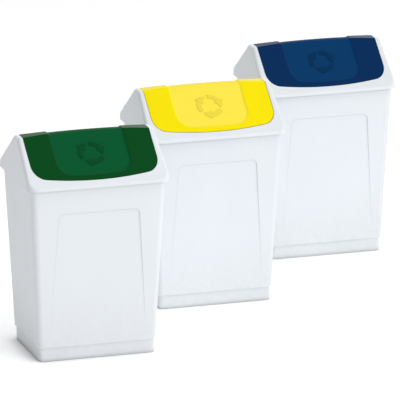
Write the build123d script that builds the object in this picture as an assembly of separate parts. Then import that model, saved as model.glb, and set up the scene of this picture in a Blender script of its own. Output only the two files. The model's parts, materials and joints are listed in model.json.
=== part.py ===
"""A set of three swing-top recycling bins, standing one behind another in a staggered row.

Each bin is a tapered bucket, a lift-off hood, a ridged flap that swings both ways in the hood,
and the two pins that the flap turns on. Millimetres, Z up, front towards -Y. The origin is on
the floor under the middle bin.
"""
from build123d import *
import math
import os

os.makedirs("parts", exist_ok=True)

# The set: each bin's colour and its place in the row, counted from the middle one
BINS = (("green", -1), ("yellow", 0), ("blue", 1))
STEP_SIDEWAYS = 396.0       # from one bin's middle to the next
STEP_BACK = 330.0

# Bucket
BODY_WIDTH = 330.0          # outside, at the rim
BODY_DEPTH = 256.0
BODY_HEIGHT = 430.0         # floor to rim, where the hood rests
BODY_DRAFT = 19.0           # how far each wall leans in from the rim to the foot
BODY_CORNER = 16.0          # corner radius at the rim
CORNER_LOSS = 2.0           # corners are this much tighter at the foot
BODY_WALL = 3.0
PLINTH_HEIGHT = 32.0
PLINTH_INSET = 4.0          # the plinth stands in from the body, with a 45 degree step
FOOT_WIDTH = 6.0            # ring that the bucket stands on
FOOT_RECESS = 5.0           # hollow under the floor
FLOOR_THICKNESS = 3.0
FLOOR_FILLET = 8.0          # inside, between the floor and the walls
FOOT_FILLET = 1.5
RIM_HEIGHT = 4.0            # turned-out rim
RIM_THICKNESS = 2.5

# Shallow panel in the bucket's front and back, deepest at its top and run out at its foot
PANEL_TOP = 66.0            # below the rim
PANEL_FOOT = 12.0           # above the step
PANEL_MARGIN_TOP = 66.0     # from the body's side, at the panel's top
PANEL_MARGIN_FOOT = 27.0
PANEL_DEPTH = 1.6
PANEL_CORNER = 14.0

# Hood
HOOD_RISE = 97.0            # rim to ridge
HOOD_OVERHANG = 9.5         # beyond the body, all round
HOOD_WALL = 2.5
HOOD_SKIRT = 5.0            # below the rim
EAVE_RISE = 1.5             # the upright band ends this far above the rim
EAVE_ROUNDING = 8.0
CHEEK_LEAN = 7.0            # how far each cheek leans in, from the skirt to the ridge
RIDGE_WIDTH = 34.0          # flat strip along the top, before its edges are rounded
RIDGE_ROUNDING = 8.0
RIM_CLEARANCE = 1.5         # between the skirt and the bucket's rim
LEDGE_THICKNESS = 2.5       # shelf inside the hood that rests on the rim
TONGUE_LENGTH = 130.0       # plates inside the bucket's side walls that keep the hood in place
TONGUE_DEPTH = 18.0
TONGUE_CLEARANCE = 1.5

# Flap
CHEEK_BORDER = 13.5         # from the hood's ridge end to the flap's side
EAVE_BORDER = 13.5          # from the hood's front to the flap's lower edge, half way along
FLAP_WALL = 2.5
FLAP_GAP = 1.2              # between the flap and the hood, in plan
FLAP_BOW = 13.0             # how far the lower edge bows out
FLAP_CORNER = 34.0
FLAP_CROWN = 6.0            # how far the flap's ridge arches up half way along
DISH_MARGIN = 62.0          # from the flap's side to the hand dish
DISH_FOOT = 10.0            # from the flap's lower edge to the dish
DISH_DEPTH = 1.5
DISH_CORNER = 32.0

# Pivots
AXIS_DROP = 18.0            # hood's ridge to the line that the flap turns about
PIN_DIAMETER = 8.0
PIN_HEAD_DIAMETER = 13.0
PIN_HEAD_THICKNESS = 2.5
PIN_END_PLAY = 0.3
PIN_RUNNING_FIT = 0.05      # on the radius, between the pin and the flap
PIN_GRIP = 8.0              # length held in the hood's boss
BOSS_DIAMETER = 16.0
EAR_RADIUS = 11.0           # plate at each end of the flap, round the pin
EAR_THICKNESS = 4.0

# Worked out from the above
hood_width = BODY_WIDTH + 2 * HOOD_OVERHANG
hood_depth = BODY_DEPTH + 2 * HOOD_OVERHANG
hood_corner = BODY_CORNER + HOOD_OVERHANG
skirt_z = BODY_HEIGHT - HOOD_SKIRT
eave_z = BODY_HEIGHT + EAVE_RISE
ridge_z = BODY_HEIGHT + HOOD_RISE
axis_z = ridge_z - AXIS_DROP
cheek_angle = math.degrees(math.atan2(CHEEK_LEAN, ridge_z - skirt_z))
flap_half_width = hood_width / 2 - CHEEK_LEAN - CHEEK_BORDER
flap_half_depth = hood_depth / 2 - EAVE_BORDER

roof_run = (hood_depth - RIDGE_WIDTH) / 2   # from the ridge strip to the eave, level
roof_slope = math.atan2(ridge_z - eave_z, roof_run)
crown_radius = (flap_half_width ** 2 + FLAP_CROWN ** 2) / (2 * FLAP_CROWN)


def block(width, depth, corner, bottom, top):
    """Upright block with rounded corners."""
    plan = Plane.XY.offset(bottom) * RectangleRounded(width, depth, corner)
    return extrude(plan, top - bottom)


def drafted_block(low, high, bottom, top):
    """Block that runs from one rounded plan to another: each is a width, a depth and a corner."""
    plans = [Plane.XY.offset(bottom) * RectangleRounded(*low)]
    plans.append(Plane.XY.offset(top) * RectangleRounded(*high))
    return loft(plans, ruled=True)


def inset_plan(plan, inset):
    """A rounded plan, smaller by the inset all round."""
    return tuple(size - share * inset for size, share in zip(plan, (2, 2, 1)))


def edges_at(solid, height):
    """The solid's edges that lie level at one height."""
    return solid.edges().filter_by_position(Axis.Z, height, height)


def panel_recess():
    """What the front panel takes out of the wall: a wedge with two rounded corners on top."""
    foot_z = PLINTH_HEIGHT + PLINTH_INSET + PANEL_FOOT
    top_z = BODY_HEIGHT - PANEL_TOP
    wall_lean = BODY_DRAFT / (BODY_HEIGHT - PLINTH_HEIGHT - PLINTH_INSET)
    foot_y = -BODY_DEPTH / 2 + wall_lean * (BODY_HEIGHT - foot_z)
    top_y = -BODY_DEPTH / 2 + wall_lean * PANEL_TOP + PANEL_DEPTH
    tall = math.hypot(top_z - foot_z, top_y - foot_y)
    out = Vector(0, foot_z - top_z, top_y - foot_y).normalized()
    face_plane = Plane(origin=(0, foot_y, foot_z), x_dir=(1, 0, 0), z_dir=out)
    half_foot = BODY_WIDTH / 2 - BODY_DRAFT - PANEL_MARGIN_FOOT
    half_top = BODY_WIDTH / 2 - PANEL_MARGIN_TOP
    corners = [(-half_foot, 0), (half_foot, 0), (half_top, tall), (-half_top, tall)]
    outline = make_face(Polyline(*corners, close=True))
    outline = fillet(outline.vertices().group_by(Axis.Y)[-1], PANEL_CORNER)
    return extrude(face_plane * outline, 2 * BODY_WALL)


def bucket():
    """Tapered bucket on a plinth, with a turned-out rim and a hollow under its floor."""
    rim_plan = (BODY_WIDTH, BODY_DEPTH, BODY_CORNER)
    foot_plan = inset_plan(rim_plan, BODY_DRAFT)[:2] + (BODY_CORNER - CORNER_LOSS,)
    plinth_plan = inset_plan(foot_plan, PLINTH_INSET)
    step_z = PLINTH_HEIGHT + PLINTH_INSET
    inner_step_z = step_z + BODY_WALL * (math.sqrt(2) - 1)
    floor_z = FOOT_RECESS + FLOOR_THICKNESS

    plinth = block(*plinth_plan, 0, PLINTH_HEIGHT)
    plinth = fillet(edges_at(plinth, 0), FOOT_FILLET)
    step = drafted_block(plinth_plan, foot_plan, PLINTH_HEIGHT, step_z)
    outside = plinth + step + drafted_block(foot_plan, rim_plan, step_z, BODY_HEIGHT)

    rim_out = HOOD_OVERHANG - HOOD_WALL - RIM_CLEARANCE
    rim = block(*inset_plan(rim_plan, -rim_out), BODY_HEIGHT - RIM_HEIGHT, BODY_HEIGHT)
    under_rim = inset_plan(rim_plan, RIM_THICKNESS - rim_out)
    rim -= block(*under_rim, BODY_HEIGHT - RIM_HEIGHT, BODY_HEIGHT - RIM_THICKNESS)

    well = block(*inset_plan(plinth_plan, BODY_WALL), floor_z, inner_step_z)
    well = fillet(edges_at(well, floor_z), FLOOR_FILLET)
    inside_foot = inset_plan(foot_plan, BODY_WALL)
    inside_rim = inset_plan(rim_plan, BODY_WALL)
    inside = well + drafted_block(inside_foot, inside_rim, inner_step_z, BODY_HEIGHT)
    under_floor = block(*inset_plan(plinth_plan, FOOT_WIDTH), 0, FOOT_RECESS)

    recess = panel_recess()
    return outside + rim - inside - under_floor - recess - mirror(recess, Plane.XZ)


def under_slopes(inset, low, peak):
    """Everything under two slopes, set in square to them by the inset, and below the peak."""
    corner_y = RIDGE_WIDTH / 2 - inset * math.tan(roof_slope / 2)
    corner_z = ridge_z - inset
    side_y = hood_depth / 2 + HOOD_WALL
    side_z = corner_z - (side_y - corner_y) * math.tan(roof_slope)
    peak_y = corner_y - (peak - corner_z) / math.tan(roof_slope)
    right = [(side_y, low), (side_y, side_z), (peak_y, peak)]
    left = [(-y, z) for y, z in reversed(right)]
    section = make_face(Polyline(*right, *left, close=True))
    return extrude(Plane.YZ * section, hood_width / 2 + HOOD_WALL, both=True)


def ridge_edges(solid):
    """The two long edges on top of a roof."""
    return solid.edges().filter_by_position(Axis.Y, -RIDGE_WIDTH / 2, RIDGE_WIDTH / 2).sort_by(Axis.Z)[-2:]


def roof(inset, low):
    """Everything under the hood's pitched roof with its flat ridge, set in by the inset."""
    solid = under_slopes(inset, low, ridge_z - inset)
    return fillet(ridge_edges(solid), RIDGE_ROUNDING - inset)


def crowned_roof(inset, low):
    """The flap's own roof: its slopes are the hood's, but the ridge arches up half way along."""
    top_z = ridge_z - inset + FLAP_CROWN
    slopes = under_slopes(inset, low, top_z)
    arch = Plane.XZ * Pos(0, top_z - crown_radius) * Circle(crown_radius)
    solid = slopes & extrude(arch, hood_depth, both=True)
    return fillet(ridge_edges(solid), RIDGE_ROUNDING - inset)


def flap_plan():
    """The flap seen from above: straight sides, bowed lower edges and rounded corners."""
    side_y = flap_half_depth - FLAP_BOW
    front = ThreePointArc((-flap_half_width, -side_y), (0, -flap_half_depth), (flap_half_width, -side_y))
    back = ThreePointArc((flap_half_width, side_y), (0, flap_half_depth), (-flap_half_width, side_y))
    right = Line((flap_half_width, -side_y), (flap_half_width, side_y))
    left = Line((-flap_half_width, side_y), (-flap_half_width, -side_y))
    plan = make_face(front + right + back + left)
    return fillet(plan.vertices(), FLAP_CORNER)


def upright(plan):
    """The plan drawn up through the whole hood."""
    return extrude(Plane.XY.offset(skirt_z) * plan, ridge_z - skirt_z + FLAP_CROWN + HOOD_WALL)


def hood_block(inset):
    """The hood's outer or inner shape: leaning walls under the roof."""
    plan = inset_plan((hood_width, hood_depth, hood_corner), inset)
    base = Plane.XY.offset(skirt_z) * RectangleRounded(*plan)
    walls = extrude(base, ridge_z - skirt_z + HOOD_WALL, taper=cheek_angle)
    return walls & roof(inset, skirt_z - HOOD_WALL)


def eave_edges(solid):
    """The loop of edges where the hood's walls meet its roof."""
    ridge_reach = RIDGE_WIDTH / 2
    low = skirt_z + HOOD_SKIRT / 2
    found = []
    for edge in solid.edges():
        middle = edge @ 0.5
        level_skirt = middle.Z < low
        along_ridge = abs(middle.X) < HOOD_WALL and abs(middle.Y) < ridge_reach
        upright_seam = edge.vertices().sort_by(Axis.Z)[0].Z < low
        if not (level_skirt or along_ridge or upright_seam):
            found.append(edge)
    return found


def hood():
    """Pitched hood: a shell with a ledge and two tongues inside, bosses for the pins, and a
    mouth that the flap fills."""
    outside = hood_block(0)
    outside = fillet(eave_edges(outside), EAVE_ROUNDING)
    shell = outside - hood_block(HOOD_WALL)

    tongue_out = BODY_WIDTH / 2 - BODY_WALL - TONGUE_CLEARANCE
    tongue_in = tongue_out - HOOD_WALL
    ledge = block(hood_width, hood_depth, hood_corner, BODY_HEIGHT, BODY_HEIGHT + LEDGE_THICKNESS)
    ledge -= block(2 * tongue_in, BODY_DEPTH, BODY_CORNER, BODY_HEIGHT, BODY_HEIGHT + LEDGE_THICKNESS)
    shell += ledge & outside

    boss_in = flap_half_width + FLAP_GAP
    boss = Plane.YZ.offset(boss_in) * Pos(0, axis_z) * Circle(BOSS_DIAMETER / 2)
    boss = extrude(boss, hood_width / 2 - boss_in) & outside
    bore = Plane.YZ.offset(boss_in) * Pos(0, axis_z) * Circle(PIN_DIAMETER / 2)
    tongue_z = BODY_HEIGHT - TONGUE_DEPTH
    tongue_plan = Pos((tongue_in + tongue_out) / 2, 0, tongue_z) * Rectangle(HOOD_WALL, TONGUE_LENGTH)
    tongue = extrude(tongue_plan, TONGUE_DEPTH + LEDGE_THICKNESS)

    mouth = upright(offset(flap_plan(), FLAP_GAP))
    right = tongue + (boss - extrude(bore, PIN_GRIP))
    return shell - mouth + right + mirror(right, Plane.YZ)


def flap():
    """Ridged flap: two sloping panels in one, with a hand dish across the ridge and an ear at
    each end for its pin."""
    plan = upright(flap_plan())
    dish_half = flap_half_width - DISH_MARGIN
    dish_plan = offset(flap_plan(), -DISH_FOOT) & Rectangle(2 * dish_half, hood_depth)
    dish_plan = fillet(dish_plan.vertices(), DISH_CORNER)
    dish = upright(dish_plan)
    dish_wall = upright(offset(dish_plan, FLAP_WALL))

    below = skirt_z - FLAP_WALL
    outer = (crowned_roof(0, skirt_z) - dish) + (crowned_roof(DISH_DEPTH, skirt_z) & dish)
    inner = crowned_roof(FLAP_WALL, below) - dish_wall
    inner += crowned_roof(DISH_DEPTH + FLAP_WALL, below) & dish_wall
    panels = (outer & plan) - inner

    ear_plan = Circle(EAR_RADIUS) + Pos(0, EAR_RADIUS) * Rectangle(2 * EAR_RADIUS, 2 * EAR_RADIUS)
    ear_plan -= Circle(PIN_DIAMETER / 2 + PIN_RUNNING_FIT)
    ear_in = flap_half_width - EAR_THICKNESS
    ear = extrude(Plane.YZ.offset(ear_in) * Pos(0, axis_z) * ear_plan, EAR_THICKNESS)
    ear &= roof(FLAP_WALL / 2, skirt_z)
    return panels + ear + mirror(ear, Plane.YZ)


def pivot_pin():
    """Headed pin of the right-hand pivot, pushed out through the flap's ear into the hood."""
    ear_in = flap_half_width - EAR_THICKNESS
    head_out = ear_in - PIN_END_PLAY
    tip = flap_half_width + FLAP_GAP + PIN_GRIP
    head = Plane.YZ.offset(head_out - PIN_HEAD_THICKNESS) * Pos(0, axis_z) * Circle(PIN_HEAD_DIAMETER / 2)
    shaft = Plane.YZ.offset(head_out) * Pos(0, axis_z) * Circle(PIN_DIAMETER / 2)
    return extrude(head, PIN_HEAD_THICKNESS) + extrude(shaft, tip - head_out)


right_pin = pivot_pin()
pieces = {
    "bucket": bucket(),
    "hood": hood(),
    "flap": flap(),
    "pivot_right": right_pin,
    "pivot_left": mirror(right_pin, Plane.YZ),
}
for colour, place in BINS:
    spot = Pos(place * STEP_SIDEWAYS, place * STEP_BACK, 0)
    for name, piece in pieces.items():
        export_step(spot * piece, f"parts/{colour}_{name}.step")
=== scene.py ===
"""Looks for a set of three swing-top recycling bins: moulded flaps, sorting marks, finishes and stage."""
import json
import math

import bmesh
import bpy
from bpy.props import FloatProperty, FloatVectorProperty, IntProperty, PointerProperty
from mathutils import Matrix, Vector


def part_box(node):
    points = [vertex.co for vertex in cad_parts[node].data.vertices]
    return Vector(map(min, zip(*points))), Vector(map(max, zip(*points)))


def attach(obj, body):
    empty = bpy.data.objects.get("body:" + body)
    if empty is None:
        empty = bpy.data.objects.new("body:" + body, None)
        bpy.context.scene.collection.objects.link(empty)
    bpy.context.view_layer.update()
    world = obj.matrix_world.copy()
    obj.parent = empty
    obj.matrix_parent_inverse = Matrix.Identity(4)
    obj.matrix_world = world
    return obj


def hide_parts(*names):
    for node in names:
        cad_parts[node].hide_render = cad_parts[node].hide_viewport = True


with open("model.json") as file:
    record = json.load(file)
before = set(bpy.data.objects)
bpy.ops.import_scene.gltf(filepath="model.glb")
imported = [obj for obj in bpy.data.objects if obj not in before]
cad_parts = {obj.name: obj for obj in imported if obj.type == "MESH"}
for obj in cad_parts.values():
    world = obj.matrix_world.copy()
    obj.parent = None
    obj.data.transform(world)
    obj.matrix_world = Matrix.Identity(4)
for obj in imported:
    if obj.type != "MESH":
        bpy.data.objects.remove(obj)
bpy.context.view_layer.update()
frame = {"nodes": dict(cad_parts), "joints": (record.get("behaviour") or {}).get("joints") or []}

bl_info = {
    "name": "Swing-top Bin Looks",
    "version": (1, 0, 0),
    "blender": (4, 5, 0),
    "location": "3D View > Sidebar > Bins",
    "description": "Builds the moulded flaps and sorting marks of a set of bins and finishes its plastics",
    "category": "Object",
}

COLOURS = ("green", "yellow", "blue")
MM = 0.001
SLIVER = 0.02 * MM          # edges shorter than this are left over from a modifier
ROUNDED_FROM = 50           # degrees: an edge this sharp gets rounded
CRISP_FROM = 35             # degrees: an edge this sharp keeps a crisp line in the shading
EAR_SIDES = 64              # mesh lines round each ear and its hole
EAR_INSET = 0.3 * MM        # the ear's outer face stands in from the flap's side by this
EAR_STEEPEST = 0.01         # keeps the ear's outline finite straight above the pin

# Shape of one bent arrow, as shares of its part of the ring, or of its own head
ARROW_LENGTH = 0.86
HEAD_LENGTH = 0.36
BARB_LENGTH = 0.02
HEAD_TAPER = 0.96
BAND_STEPS = 16
HEAD_STEPS = 8
ACROSS = (-1, -0.5, 0, 0.5, 1)

DISH_DEEPEST = 0.6          # share of the way down the panel where the dish is deepest
DISH_RISES = 0.5            # share of the way down from which it grows shallower again
BEND_STEPS = 6              # mesh lines round the ridge's rounded edge
STRIP_COARSENESS = 4        # the flat strip has this many times fewer mesh lines


def linear(code):
    """An sRGB hex colour as linear red, green, blue and full alpha."""
    shares = [int(code[i:i + 2], 16) / 255 for i in (0, 2, 4)]
    return tuple(s / 12.92 if s <= 0.04045 else ((s + 0.055) / 1.055) ** 2.4 for s in shares) + (1.0,)


def colour_property(name, description, code):
    """A colour that a user may change, given by its hex code."""
    return FloatVectorProperty(name=name, description=description, default=linear(code), size=4,
                               min=0, max=1, subtype="COLOR")


def length_property(name, description, millimetres):
    """A length that a user may change, given in millimetres."""
    return FloatProperty(name=name, description=description, default=millimetres * MM, subtype="DISTANCE",
                         unit="LENGTH")


class BinColours(bpy.types.PropertyGroup):
    """Colours of the plastics."""
    white: colour_property("White", "Polypropylene of the buckets and hoods", "E7EBF0")
    white_shade: colour_property("White shade", "Faint flow marks in the white plastic", "E0E5EA")
    green: colour_property("Green", "Green flap", "00491A")
    yellow: colour_property("Yellow", "Yellow flap", "FFEA00")
    blue: colour_property("Blue", "Blue flap", "002D5C")
    # The dish colours are paler than the flaps': a painted sheen for the light the matt dish scatters
    green_dish: colour_property("Green dish", "Hand dish of the green flap", "00552C")
    yellow_dish: colour_property("Yellow dish", "Hand dish of the yellow flap", "FFE84C")
    blue_dish: colour_property("Blue dish", "Hand dish of the blue flap", "003867")
    green_mark: colour_property("Green mark", "Sorting mark of the green flap", "004B26")
    yellow_mark: colour_property("Yellow mark", "Sorting mark of the yellow flap", "F6DF48")
    blue_mark: colour_property("Blue mark", "Sorting mark of the blue flap", "003159")
    nylon: colour_property("Nylon", "Pivot pins", "D9D6CC")
    floor: colour_property("Floor", "Floor of the stage", "FAFAFA")


class FlapSizes(bpy.types.PropertyGroup):
    """Shape of the moulded flap."""
    wall: length_property("Wall", "Thickness of the flap", 2.5)
    bow: length_property("Bow", "How far the lower edge bows out", 13)
    corner: length_property("Corner", "Radius of the lower corners, seen from above", 34)
    edge_round: length_property("Edge rounding", "Rounding of the flap's edges", 0.8)
    ridge_width: length_property("Ridge width", "Flat strip along the top, before its edges are rounded", 34)
    ridge_round: length_property("Ridge rounding", "Radius of the ridge strip's edges", 5)
    ridge_crown: length_property("Ridge crown", "How far the ridge arches up half way along", 6)
    dish_half: length_property("Dish half width", "From the flap's middle to the side of the hand dish", 92)
    dish_foot: length_property("Dish foot", "From the lower edge to the dish", 10)
    dish_corner: length_property("Dish corner", "Radius of the dish's lower corners", 32)
    dish_edge: length_property("Dish edge", "Width of the slope round the dish", 5)
    dish_depth: length_property("Dish depth", "Depth of the dish at its deepest", 2.6)
    dish_lip: length_property("Dish lip depth", "Depth of the dish just above its foot", 1.6)
    ridge_sink: length_property("Ridge sink", "How far the ridge sinks where the dish crosses it", 1.6)
    dish_ridge: length_property("Dish ridge radius", "Rounder ridge where the dish crosses it", 25)
    ear_radius: length_property("Ear radius", "Plate round each pin", 11)
    ear_thickness: length_property("Ear thickness", "Thickness of that plate", 4)
    pin_hole: length_property("Pin hole radius", "Hole that the pin turns in", 4.05)
    step: length_property("Mesh step", "Distance between the mesh lines", 2)


class MarkSizes(bpy.types.PropertyGroup):
    """Shape of the raised sorting mark on each front panel."""
    radius: length_property("Radius", "Middle of the ring of arrows", 27)
    band: length_property("Band", "Width of each arrow's band", 11)
    head: length_property("Head", "Width of each arrowhead", 23)
    relief: length_property("Relief", "Height above the dish", 0.9)
    sunk: length_property("Sunk", "How far the mark runs into the flap's wall", 0.5)
    arrows: IntProperty(name="Arrows", description="Number of arrows in the ring", default=3, min=2, max=5)
    down_slope: length_property("Down slope", "From the ridge to the middle of the mark, in plan", 62)


class StageSizes(bpy.types.PropertyGroup):
    """Camera, lights and floor."""
    azimuth: FloatProperty(name="Azimuth", description="Turn of the camera round the bins",
                           default=math.radians(-17.4), subtype="ANGLE", unit="ROTATION")
    elevation: FloatProperty(name="Elevation", description="Height of the camera as an angle",
                             default=math.radians(15.7), subtype="ANGLE", unit="ROTATION")
    distance: length_property("Distance", "From the camera to what it aims at", 14280)
    focal_length: FloatProperty(name="Focal length", description="Long lens for nearly parallel lines",
                                default=540, unit="CAMERA")
    aim: FloatVectorProperty(name="Aim", description="Point at the middle of the picture",
                             default=(-0.109, -0.330, 0.334), subtype="XYZ", unit="LENGTH")
    floor_size: length_property("Floor size", "Side of the square floor", 60000)
    floor_glow: FloatProperty(name="Floor glow", description="Light from under the floor's sheet",
                              default=0.32)


def node(tree, kind, settings=None, values=None, links=None):
    """Add a shader node with its settings, its input values and what feeds its inputs."""
    made = tree.nodes.new(kind)
    for name, value in (settings or {}).items():
        setattr(made, name, value)
    for name, value in (values or {}).items():
        made.inputs[name].default_value = value
    for name, output in (links or {}).items():
        tree.links.new(output, made.inputs[name])
    return made


def plastic(name, main, shade, roughness, grain, relief, specular, crease=6, foot=None, dish=None):
    """A moulded plastic: faint flow marks in its colour, spark-eroded grain, uneven gloss and painted shade
    in its creases.

    Grain, relief and crease are in millimetres: how wide the grain's pits are, how deep they are,
    and how far the painted crease shade reaches out of a crease. Foot is the colour that the plastic
    darkens to towards the bottom, and dish the paler colour of the matt hand dish, a painted sheen.
    """
    material = bpy.data.materials.new(name)
    material.use_nodes = True
    tree = material.node_tree
    shader = tree.nodes["Principled BSDF"]
    place = node(tree, "ShaderNodeTexCoord").outputs["Object"]

    # Flow marks run a hand's width across, drawn out along the way the plastic ran up the mould
    stretch = node(tree, "ShaderNodeMapping", values={"Scale": (1.0, 1.0, 0.35)}, links={"Vector": place})
    flow = node(tree, "ShaderNodeTexNoise", values={"Scale": 1 / 0.09, "Detail": 3.0, "Roughness": 0.55},
                links={"Vector": stretch.outputs["Vector"]})
    tone = node(tree, "ShaderNodeMix", {"data_type": "RGBA"}, {6: main, 7: shade}, {0: flow.outputs["Fac"]})
    colour = tone.outputs[2]
    if foot:
        # Darker towards the bottom, in patches, fading out by a hand's length up
        height = node(tree, "ShaderNodeSeparateXYZ", links={"Vector": place}).outputs["Z"]
        low = node(tree, "ShaderNodeMapRange", {"interpolation_type": "SMOOTHSTEP"},
                   {"From Min": 0.0, "From Max": 0.2, "To Min": 0.35, "To Max": 0.0}, {"Value": height})
        low_patches = node(tree, "ShaderNodeTexNoise", values={"Scale": 1 / 0.012, "Detail": 5.0},
                   links={"Vector": place})
        share = node(tree, "ShaderNodeMath", {"operation": "MULTIPLY"},
                     links={0: low.outputs["Result"], 1: low_patches.outputs["Fac"]})
        darker_low_down = node(tree, "ShaderNodeMix", {"data_type": "RGBA"}, {7: foot},
                    {0: share.outputs[0], 6: colour})
        colour = darker_low_down.outputs[2]
    # Gloss varies over patches about 30 mm wide, where the mould was polished unevenly
    sheen = node(tree, "ShaderNodeTexNoise", values={"Scale": 1 / 0.03, "Detail": 4.0},
                 links={"Vector": place})
    gloss = node(tree, "ShaderNodeMapRange",
                 values={"To Min": roughness - 0.05, "To Max": roughness + 0.05},
                 links={"Value": sheen.outputs["Fac"]}).outputs["Result"]
    if dish:
        # The dish's mould is sand-blasted, so the dish is rougher; its paler colour is a painted sheen for
        # the light that a matt surface scatters
        inside = node(tree, "ShaderNodeAttribute", {"attribute_name": "matt_dish"}).outputs["Fac"]
        painted_dish_sheen = node(tree, "ShaderNodeMix", {"data_type": "RGBA"}, {7: dish}, {0: inside, 6: colour})
        colour = painted_dish_sheen.outputs[2]
        rough = node(tree, "ShaderNodeMath", {"operation": "MULTIPLY_ADD"}, {1: 0.2}, {0: inside, 2: gloss})
        gloss = rough.outputs[0]

    # Painted shade: ambient occlusion darkens the colour in the creases, along the seams and at the foot of
    # every step
    near = node(tree, "ShaderNodeAmbientOcclusion", {"samples": 4}, {"Distance": crease * MM})
    crease_shade_amount = node(tree, "ShaderNodeMapRange", values={"From Min": 0.35, "From Max": 0.95, "To Min": 0.6},
                 links={"Value": near.outputs["AO"]})
    painted_crease_shade = node(tree, "ShaderNodeMix", {"data_type": "RGBA"}, {6: (0.0, 0.0, 0.0, 1.0)},
                 {0: crease_shade_amount.outputs["Result"], 7: colour})
    tree.links.new(painted_crease_shade.outputs[2], shader.inputs["Base Color"])
    tree.links.new(gloss, shader.inputs["Roughness"])

    # Spark-eroded grain is about 0.3 mm across, drawn at the grain size given so that it shows
    pits = node(tree, "ShaderNodeTexNoise", values={"Scale": 1 / (grain * MM), "Detail": 2.0},
                links={"Vector": place})
    bump = node(tree, "ShaderNodeBump", values={"Strength": 0.35, "Distance": relief * MM},
                links={"Height": pits.outputs["Fac"]})
    tree.links.new(bump.outputs["Normal"], shader.inputs["Normal"])
    shader.inputs["Specular IOR Level"].default_value = specular
    shader.inputs["IOR"].default_value = 1.49
    return material


def use_material(piece, material):
    """Give the whole piece one material."""
    piece.data.materials.clear()
    piece.data.materials.append(material)


def darker(colour, share):
    """The same colour with less light."""
    return tuple(c * share for c in colour[:3]) + (1.0,)


class FlapShape:
    """One flap's section and outline, worked out from the frame and the flap's sizes."""

    def __init__(self, colour, sizes):
        low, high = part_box(f"{colour}_flap")
        joint = next(j for j in frame["joints"] if j["name"] == f"{colour}_flap_swing")
        self.x, self.y, self.axis_z = joint["pos_m"]
        self.half_width = (high.x - low.x) / 2
        self.half_depth = (high.y - low.y) / 2
        self.sizes = sizes
        self.ridge_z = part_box(f"{colour}_hood")[1].z
        run = self.half_depth - sizes.ridge_width / 2
        drop = self.ridge_z - low.z
        self.slope = math.atan2(drop, run) - math.asin(sizes.wall / math.hypot(run, drop))
        self.crown_radius = (self.half_width ** 2 + sizes.ridge_crown ** 2) / (2 * sizes.ridge_crown)
        self.bow_radius = (self.half_width ** 2 + sizes.bow ** 2) / (2 * sizes.bow)
        self.corner_x = self.half_width - sizes.corner
        reach = self.bow_radius - sizes.corner
        self.corner_y = self.half_depth - self.bow_radius + math.sqrt(reach ** 2 - self.corner_x ** 2)
        self.tangent_x = self.corner_x * self.bow_radius / reach

    def bowed(self, x):
        """Half depth of the bowed edge at x, before its corners are rounded."""
        return self.half_depth - self.bow_radius + math.sqrt(self.bow_radius ** 2 - x ** 2)

    def edge(self, x):
        """Half depth of the rounded outline at x."""
        if abs(x) <= self.tangent_x:
            return self.bowed(x)
        across = min(abs(x) - self.corner_x, self.sizes.corner)
        return self.corner_y + math.sqrt(self.sizes.corner ** 2 - across ** 2)

    def section(self, x):
        """At x: the ridge's height, where its rounded edge starts and the radius of that edge."""
        s = self.sizes
        rise = s.ridge_crown - self.crown_radius + math.sqrt(self.crown_radius ** 2 - x ** 2)
        inside = smooth((s.dish_half - abs(x)) / s.dish_edge)
        radius = s.ridge_round + (s.dish_ridge - s.ridge_round) * inside
        corner_y = s.ridge_width / 2 - rise / math.tan(self.slope)
        return self.ridge_z + rise, corner_y - radius * math.tan(self.slope / 2), radius

    def surface(self, x, y):
        """Height and tilt of the undished surface at plan x and y, with y not below 0."""
        top, start, radius = self.section(x)
        if y <= start:
            return top, 0.0
        if y < start + radius * math.sin(self.slope):
            tilt = math.asin((y - start) / radius)
            return top - radius * (1 - math.cos(tilt)), tilt
        end_y = start + radius * math.sin(self.slope)
        end_z = top - radius * (1 - math.cos(self.slope))
        return end_z - (y - end_y) * math.tan(self.slope), self.slope

    def point(self, x, y, depth):
        """The surface's point at plan x and y, pushed in square to it by the depth."""
        z, tilt = self.surface(x, abs(y))
        tilt = math.copysign(tilt, y)
        return Vector((self.x + x, self.y + y - depth * math.sin(tilt), z - depth * math.cos(tilt)))

    def in_dish(self, x, y):
        """Share of the dish's depth at plan x and y: 0 outside, 1 inside and a slope between."""
        s = self.sizes
        over_x = abs(x) - (s.dish_half - s.dish_corner)
        over_y = abs(y) - (self.bowed(min(abs(x), s.dish_half)) - s.dish_foot - s.dish_corner)
        outside = math.hypot(max(over_x, 0), max(over_y, 0)) + min(max(over_x, over_y), 0) - s.dish_corner
        return smooth(-outside / s.dish_edge)

    def dish(self, x, y):
        """Depth of the hand dish at plan x and y: sunk a little at the ridge, deepest half way down."""
        s = self.sizes
        down = min(abs(y) / (self.bowed(min(abs(x), s.dish_half)) - s.dish_foot), 1)
        upper = (s.dish_depth - s.ridge_sink) * smooth(down / DISH_DEEPEST)
        lower = (s.dish_depth - s.dish_lip) * smooth((down - DISH_RISES) / (1 - DISH_RISES))
        return self.in_dish(x, y) * (s.ridge_sink + upper - lower)


def smooth(share):
    """Smooth step from 0 to 1."""
    t = min(max(share, 0), 1)
    return t * t * (3 - 2 * t)


def spread(start, end, step):
    """Evenly spread values from start to end, about a step apart, both ends included."""
    count = max(1, round(abs(end - start) / step))
    return [start + (end - start) * i / count for i in range(count + 1)]


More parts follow.
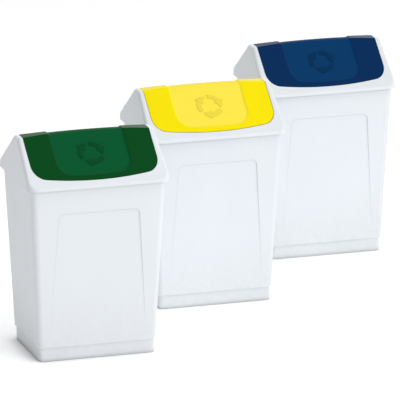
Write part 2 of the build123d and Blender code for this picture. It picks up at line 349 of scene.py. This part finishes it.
def flap_grid(shape):
    """Plan points of the flap's mesh: rows that follow the ridge strip, then the outline."""
    sizes = shape.sizes
    middle = spread(0, shape.tangent_x, sizes.step)
    first_turn = math.asin((shape.tangent_x - shape.corner_x) / sizes.corner)
    turns = spread(first_turn, math.pi / 2, sizes.step / sizes.corner)[1:]
    right = middle + [shape.corner_x + sizes.corner * math.sin(turn) for turn in turns]
    columns = [-x for x in reversed(right[1:])] + right
    flat = spread(0, 1, sizes.step / sizes.ridge_width * STRIP_COARSENESS)[:-1]
    bend = spread(0, shape.slope, shape.slope / BEND_STEPS)[:-1]
    down = spread(0, 1, sizes.step / (shape.half_depth - sizes.ridge_width / 2))
    grid = []
    for x in columns:
        start, radius = shape.section(x)[1:]
        end = start + radius * math.sin(shape.slope)
        back = [start * share for share in flat] + [start + radius * math.sin(turn) for turn in bend]
        back += [end + (shape.edge(x) - end) * share for share in down]
        grid.append([(x, -y) for y in reversed(back[1:])] + [(x, y) for y in back])
    return grid


def add_sheet(mesh, rows, flip):
    """Join a grid of vertices with four-sided faces."""
    for one, two in zip(rows, rows[1:]):
        for a, b, c, d in zip(one, two, two[1:], one[1:]):
            mesh.faces.new((a, d, c, b) if flip else (a, b, c, d))


def add_plate(mesh, shape, grid, top_depth, under_depth):
    """A plate that follows the dished flap: its faces lie at two depths below the flap's face."""
    sheets = []
    for depth in (top_depth, under_depth):
        rows = [[mesh.verts.new(shape.point(x, y, shape.dish(x, y) + depth)) for x, y in row] for row in grid]
        add_sheet(mesh, rows, depth == under_depth)
        sheets.append(border(rows))
    top, under = sheets
    for i in range(len(top)):
        j = (i + 1) % len(top)
        mesh.faces.new((top[i], under[i], under[j], top[j]))


def round_edges(piece, width):
    """Round the piece's crisp edges."""
    rounding = piece.modifiers.new("rounded edges", "BEVEL")
    rounding.width = width
    rounding.segments = 3
    rounding.limit_method = "ANGLE"
    rounding.angle_limit = math.radians(ROUNDED_FROM)
    apply_modifiers(piece)


def border(rows):
    """The grid's outer loop of vertices, once round."""
    first, last = rows[0], rows[-1]
    ends = [row[-1] for row in rows[1:-1]], [row[0] for row in rows[1:-1]]
    return first + ends[0] + last[::-1] + ends[1][::-1]


def new_piece(name, mesh):
    """A new object in the scene from a bmesh."""
    data = bpy.data.meshes.new(name)
    bmesh.ops.recalc_face_normals(mesh, faces=mesh.faces)
    mesh.to_mesh(data)
    mesh.free()
    piece = bpy.data.objects.new(name, data)
    bpy.context.scene.collection.objects.link(piece)
    return piece


def apply_modifiers(piece):
    """Replace the piece's mesh by what its modifiers make of it."""
    graph = bpy.context.evaluated_depsgraph_get()
    final = bpy.data.meshes.new_from_object(piece.evaluated_get(graph))
    piece.modifiers.clear()
    old = piece.data
    piece.data = final
    bpy.data.meshes.remove(old)


def clean(piece):
    """Merge away the slivers that the modifiers leave, so that the mesh is closed."""
    mesh = bmesh.new()
    mesh.from_mesh(piece.data)
    bmesh.ops.remove_doubles(mesh, verts=mesh.verts, dist=SLIVER)
    bmesh.ops.dissolve_degenerate(mesh, edges=mesh.edges, dist=SLIVER)
    bmesh.ops.triangulate(mesh, faces=mesh.faces)
    bmesh.ops.dissolve_degenerate(mesh, edges=mesh.edges, dist=SLIVER)
    bmesh.ops.recalc_face_normals(mesh, faces=mesh.faces)
    mesh.to_mesh(piece.data)
    mesh.free()


def shade(piece):
    """Smooth shading that stays crisp at sharp edges."""
    piece.data.shade_smooth()
    piece.data.set_sharp_from_angle(angle=math.radians(CRISP_FROM))


def ear_mesh(shape, side):
    """The plate that hangs from the ridge at one end of the flap, with the hole for the pin."""
    sizes = shape.sizes
    top = shape.ridge_z - shape.axis_z - sizes.wall / 2
    faces_x = (shape.half_width - EAR_INSET, shape.half_width - sizes.ear_thickness)
    mesh = bmesh.new()
    turns = [2 * math.pi * i / EAR_SIDES for i in range(EAR_SIDES)]
    loops = []
    for across in faces_x:
        outer, inner = [], []
        for turn in turns:
            reach = sizes.ear_radius
            if math.sin(turn) > 0:
                reach = min(top, sizes.ear_radius / max(abs(math.cos(turn)), EAR_STEEPEST))
            for loop, radius in ((outer, reach), (inner, sizes.pin_hole)):
                loop.append(mesh.verts.new((shape.x + side * across, shape.y + radius * math.cos(turn),
                                            shape.axis_z + radius * math.sin(turn))))
        loops += [outer, inner]
    for one, two in ((0, 1), (1, 3), (3, 2), (2, 0)):
        for i in range(len(turns)):
            j = (i + 1) % len(turns)
            mesh.faces.new((loops[one][i], loops[one][j], loops[two][j], loops[two][i]))
    return mesh


def build_flap(colour, sizes):
    """A flap as one moulding: a shell with the dish in it, rounded edges and an ear at each end."""
    shape = FlapShape(colour, sizes)
    mesh = bmesh.new()
    add_plate(mesh, shape, flap_grid(shape), 0, sizes.wall)
    matt = mesh.verts.layers.float.new("matt_dish")
    for vertex in mesh.verts:
        vertex[matt] = shape.in_dish(vertex.co.x - shape.x, vertex.co.y - shape.y)
    piece = new_piece(f"{colour}_flap_moulding", mesh)
    round_edges(piece, sizes.edge_round)
    for side in (-1, 1):
        ear = new_piece("ear", ear_mesh(shape, side))
        join = piece.modifiers.new("ear", "BOOLEAN")
        join.operation = "UNION"
        join.solver = "EXACT"
        join.object = ear
        apply_modifiers(piece)
        bpy.data.objects.remove(ear)
    clean(piece)
    shade(piece)
    return piece


class BINS_OT_white_parts(bpy.types.Operator):
    """Finish the buckets and hoods in white polypropylene"""
    bl_idname = "bins.white_parts"
    bl_label = "Finish Buckets and Hoods"

    def execute(self, context):
        colours = context.scene.bin_colours
        # Injection-moulded polypropylene has a soft satin sheen over a milky white
        # The bucket's painted crease shade reaches 10 mm, far enough to paint a shade line under the hood's
        # skirt
        bucket = plastic("polypropylene, injection-moulded, white", colours.white, colours.white_shade,
                         roughness=0.42, grain=1.2, relief=0.05, specular=0.4, crease=10,
                         foot=linear("C9C7C2"))
        # The hood's mould is polished finer, so its edges catch brighter lines
        hood = plastic("polypropylene, injection-moulded, white, finer mould", colours.white,
                       colours.white_shade, roughness=0.34, grain=1.0, relief=0.03, specular=0.45)
        for colour in COLOURS:
            use_material(frame["nodes"][f"{colour}_bucket"], bucket)
            use_material(frame["nodes"][f"{colour}_hood"], hood)
        return {"FINISHED"}


class BINS_OT_flaps(bpy.types.Operator):
    """Build each flap as a thin moulding with a hand dish, in place of its plain solid"""
    bl_idname = "bins.flaps"
    bl_label = "Build Flaps"

    def execute(self, context):
        for colour in COLOURS:
            piece = build_flap(colour, context.scene.bin_flap)
            tint = getattr(context.scene.bin_colours, colour)
            # Coloured polypropylene from a polished mould: deep colour and a broad, quiet highlight
            # The paler dish colour is a painted sheen
            dish = getattr(context.scene.bin_colours, f"{colour}_dish")
            finish = plastic(f"polypropylene, injection-moulded, {colour}", tint, darker(tint, 0.9),
                             roughness=0.3, grain=1.4, relief=0.02, specular=0.05, dish=dish)
            use_material(piece, finish)
            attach(piece, f"{colour}_lid")
            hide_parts(f"{colour}_flap")
        return {"FINISHED"}


def arrow_grid(sizes, start):
    """Points of one bent arrow in the mark's own plane: a band along the ring, then its head."""
    turn = 2 * math.pi / sizes.arrows
    head_turn = HEAD_LENGTH * turn
    band_turn = ARROW_LENGTH * turn - head_turn
    barb = BARB_LENGTH * turn
    stations = [(start + band_turn * share, sizes.band / 2) for share in spread(0, 1, 1 / BAND_STEPS)]
    for share in spread(0, 1, 1 / HEAD_STEPS):
        half = sizes.head / 2 * (1 - HEAD_TAPER * share)
        stations.append((start + band_turn + barb + head_turn * share, half))
    rows = []
    for angle, half in stations:
        radii = [sizes.radius + half * share for share in ACROSS]
        rows.append([(radius * math.sin(angle), radius * math.cos(angle)) for radius in radii])
    return rows


class BINS_OT_marks(bpy.types.Operator):
    """Build the raised sorting mark, a ring of bent arrows, in each flap's front dish"""
    bl_idname = "bins.marks"
    bl_label = "Build Sorting Marks"

    def execute(self, context):
        marks = context.scene.bin_mark
        for colour in COLOURS:
            shape = FlapShape(colour, context.scene.bin_flap)
            mesh = bmesh.new()
            for number in range(marks.arrows):
                rows = arrow_grid(marks, 2 * math.pi * number / marks.arrows)
                lean = math.cos(shape.slope)
                grid = [[(u, v * lean - marks.down_slope) for u, v in row] for row in rows]
                add_plate(mesh, shape, grid, -marks.relief, marks.sunk)
            piece = new_piece(f"{colour}_sorting_mark", mesh)
            round_edges(piece, marks.relief / 3)
            clean(piece)
            shade(piece)
            tint = getattr(context.scene.bin_colours, f"{colour}_mark")
            # The mark is etched rougher in the mould than the flap round it, and its colour is a shade darker
            # than the dish round it
            use_material(piece, plastic(f"polypropylene, etched mould, {colour}", tint, darker(tint, 0.9),
                                        roughness=0.5, grain=0.8, relief=0.03, specular=0.05))
            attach(piece, f"{colour}_lid")
        return {"FINISHED"}


class BINS_OT_pins(bpy.types.Operator):
    """Finish the pivot pins in natural nylon"""
    bl_idname = "bins.pins"
    bl_label = "Finish Pins"

    def execute(self, context):
        nylon = context.scene.bin_colours.nylon
        # Natural nylon is a warm, slightly waxy off-white
        finish = plastic("nylon, injection-moulded, natural", nylon, darker(nylon, 0.9),
                         roughness=0.4, grain=0.8, relief=0.02, specular=0.5)
        for colour in COLOURS:
            for side in ("left", "right"):
                use_material(frame["nodes"][f"{colour}_pivot_{side}"], finish)
        return {"FINISHED"}


def area_light(name, place, aim, size, power):
    """A square soft light at a place, turned to what it lights."""
    data = bpy.data.lights.new(name, "AREA")
    data.size = size
    data.energy = power
    lamp = bpy.data.objects.new(name, data)
    lamp.location = place
    lamp.rotation_euler = (Vector(aim) - Vector(place)).to_track_quat("-Z", "Y").to_euler()
    bpy.context.scene.collection.objects.link(lamp)
    return lamp


class BINS_OT_stage(bpy.types.Operator):
    """Set the floor, the soft studio light and the camera"""
    bl_idname = "bins.stage"
    bl_label = "Set Stage"

    def execute(self, context):
        scene = context.scene
        sizes = scene.bin_stage
        self.add_floor(scene, sizes)
        self.add_sky(scene)
        middle = Vector((0, 0, 0.3))
        area_light("key light", (1.6, -4.6, 2.6), middle, 1.6, 40)
        top = area_light("top light", (0.3, -1.4, 4.2), middle, 3.0, 62)
        # Kept out of reflections, which would otherwise veil the flaps
        top.visible_glossy = False
        self.add_camera(scene, sizes)
        scene.view_settings.view_transform = "Standard"
        return {"FINISHED"}

    def add_floor(self, scene, sizes):
        mesh = bmesh.new()
        bmesh.ops.create_grid(mesh, x_segments=1, y_segments=1, size=sizes.floor_size / 2)
        floor = new_piece("studio_floor", mesh)
        # Matt white studio sheet, lit from below so that it stays pale between the bins
        finish = bpy.data.materials.new("studio sheet, matt white")
        finish.use_nodes = True
        tree = finish.node_tree
        shader = tree.nodes["Principled BSDF"]
        place = node(tree, "ShaderNodeTexCoord").outputs["Object"]
        mottle = node(tree, "ShaderNodeTexNoise", values={"Scale": 3.0}, links={"Vector": place})
        tone = node(tree, "ShaderNodeMix", {"data_type": "RGBA"},
                    {6: scene.bin_colours.floor, 7: darker(scene.bin_colours.floor, 0.985)},
                    {0: mottle.outputs["Fac"]})
        tree.links.new(tone.outputs[2], shader.inputs["Base Color"])
        shader.inputs["Roughness"].default_value = 0.9
        shader.inputs["Specular IOR Level"].default_value = 0.0
        shader.inputs["Emission Color"].default_value = (1, 1, 1, 1)
        # The glow fades close to whatever stands on the sheet: a painted contact shadow, added to the real
        # one
        near = node(tree, "ShaderNodeAmbientOcclusion", {"samples": 8}, {"Distance": 40 * MM})
        glow_with_painted_shadow = node(tree, "ShaderNodeMapRange", values={"From Min": 0.4, "To Max": sizes.floor_glow},
                    links={"Value": near.outputs["AO"]})
        tree.links.new(glow_with_painted_shadow.outputs["Result"], shader.inputs["Emission Strength"])
        use_material(floor, finish)

    def add_sky(self, scene):
        """Studio walls: dim on the left, to shade the bins' sides, with a bright backdrop behind."""
        world = bpy.data.worlds.new("studio walls")
        scene.world = world
        world.use_nodes = True
        tree = world.node_tree
        facing = node(tree, "ShaderNodeTexCoord").outputs["Generated"]
        way = node(tree, "ShaderNodeSeparateXYZ", links={"Vector": facing})
        sides = node(tree, "ShaderNodeMapRange",
                     values={"From Min": -1.0, "From Max": 0.4, "To Min": 0.0, "To Max": 0.76},
                     links={"Value": way.outputs["X"]})
        backdrop = node(tree, "ShaderNodeMapRange", {"interpolation_type": "SMOOTHSTEP"},
                        {"From Min": 0.4, "From Max": 0.9, "To Max": 0.65}, {"Value": way.outputs["Y"]})
        both = node(tree, "ShaderNodeMath", {"operation": "ADD"},
                    links={0: sides.outputs["Result"], 1: backdrop.outputs["Result"]})
        tree.links.new(both.outputs[0], tree.nodes["Background"].inputs["Strength"])
        tree.nodes["Background"].inputs["Color"].default_value = (1, 1, 1, 1)

    def add_camera(self, scene, sizes):
        data = bpy.data.cameras.new("camera")
        data.lens = sizes.focal_length
        data.sensor_width = 36
        data.clip_end = 100
        camera = bpy.data.objects.new("camera", data)
        turn, rise = sizes.azimuth, sizes.elevation
        back = Vector((math.sin(turn) * math.cos(rise), -math.cos(turn) * math.cos(rise), math.sin(rise)))
        camera.location = Vector(sizes.aim) + back * sizes.distance
        camera.rotation_euler = (-back).to_track_quat("-Z", "Y").to_euler()
        scene.collection.objects.link(camera)
        scene.camera = camera


class BINS_PT_looks(bpy.types.Panel):
    """Steps and sizes, in the 3D view's sidebar"""
    bl_idname = "BINS_PT_looks"
    bl_label = "Swing-top Bins"
    bl_space_type = "VIEW_3D"
    bl_region_type = "UI"
    bl_category = "Bins"

    def draw(self, context):
        for step in STEPS:
            self.layout.operator(step.bl_idname)
        for group in GROUPS:
            box = self.layout.box()
            settings = getattr(context.scene, group)
            for name in settings.bl_rna.properties.keys():
                if name not in ("rna_type", "name"):
                    box.prop(settings, name)


STEPS = (BINS_OT_white_parts, BINS_OT_flaps, BINS_OT_marks, BINS_OT_pins, BINS_OT_stage)
GROUPS = {"bin_colours": BinColours, "bin_flap": FlapSizes, "bin_mark": MarkSizes, "bin_stage": StageSizes}


def register():
    for group in (*GROUPS.values(), *STEPS, BINS_PT_looks):
        bpy.utils.register_class(group)
    for name, group in GROUPS.items():
        setattr(bpy.types.Scene, name, PointerProperty(type=group))


def unregister():
    for name in GROUPS:
        delattr(bpy.types.Scene, name)
    for group in (BINS_PT_looks, *reversed(STEPS), *reversed(GROUPS.values())):
        bpy.utils.unregister_class(group)


def main():
    """Run every step in order."""
    register()
    for step in STEPS:
        group, name = step.bl_idname.split(".")
        if getattr(getattr(bpy.ops, group), name)() != {"FINISHED"}:
            raise RuntimeError(f"{step.bl_label} didn't finish")
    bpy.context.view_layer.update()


if __name__ == "__main__":
    main()
